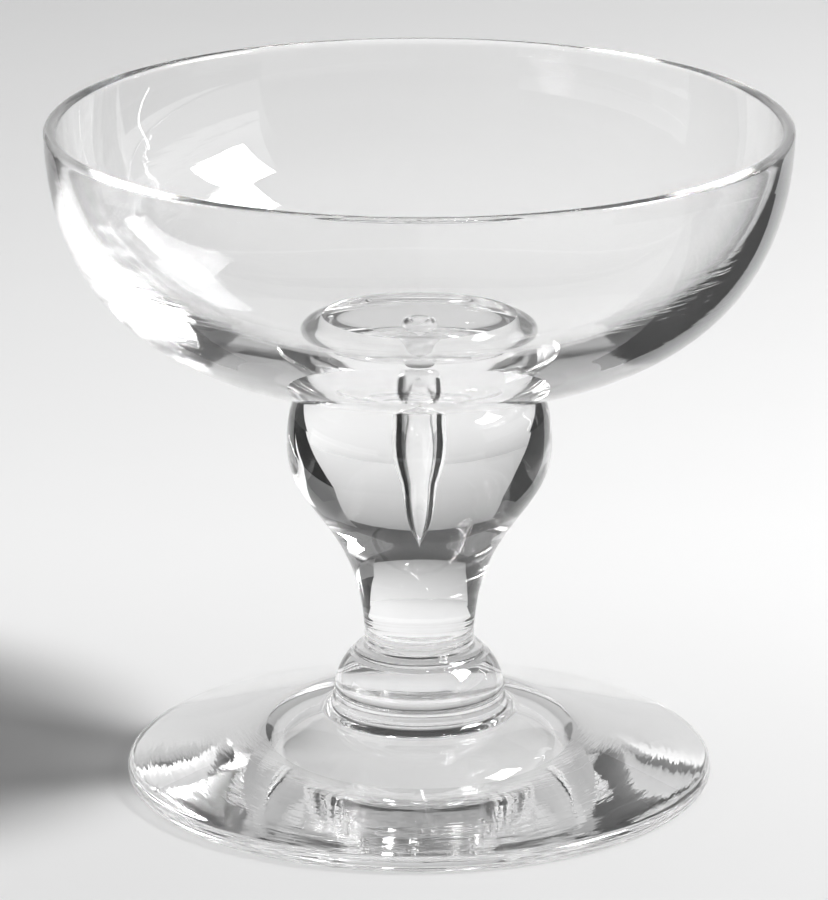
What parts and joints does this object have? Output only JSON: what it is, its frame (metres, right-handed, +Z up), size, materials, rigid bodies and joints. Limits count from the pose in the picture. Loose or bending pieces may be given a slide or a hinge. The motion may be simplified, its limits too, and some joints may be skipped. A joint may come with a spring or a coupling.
{
  "type": "sherbet glass",
  "caption": "Clear stemmed sherbet glass: broad shallow bowl, baluster stem with a trapped tear of air, low base knop and sloping round foot.",
  "frame": {"origin": "centre of the plane that the foot's resting ring stands on", "axes": "+Z up along the glass's axis of revolution, from foot to lip; +Y away from the picture's viewer, +X to the right"},
  "size_m": [0.111, 0.111, 0.1016],
  "materials": {
    "clear_glass": "fire-polished clear glass, hand tooled, faint tooling rings on the knop and foot"
  },
  "bodies": {
    "root": {"foot": "clear_glass", "base_knop": "clear_glass", "baluster_stem": "clear_glass", "bowl": "clear_glass"}
  },
  "joints": []
}
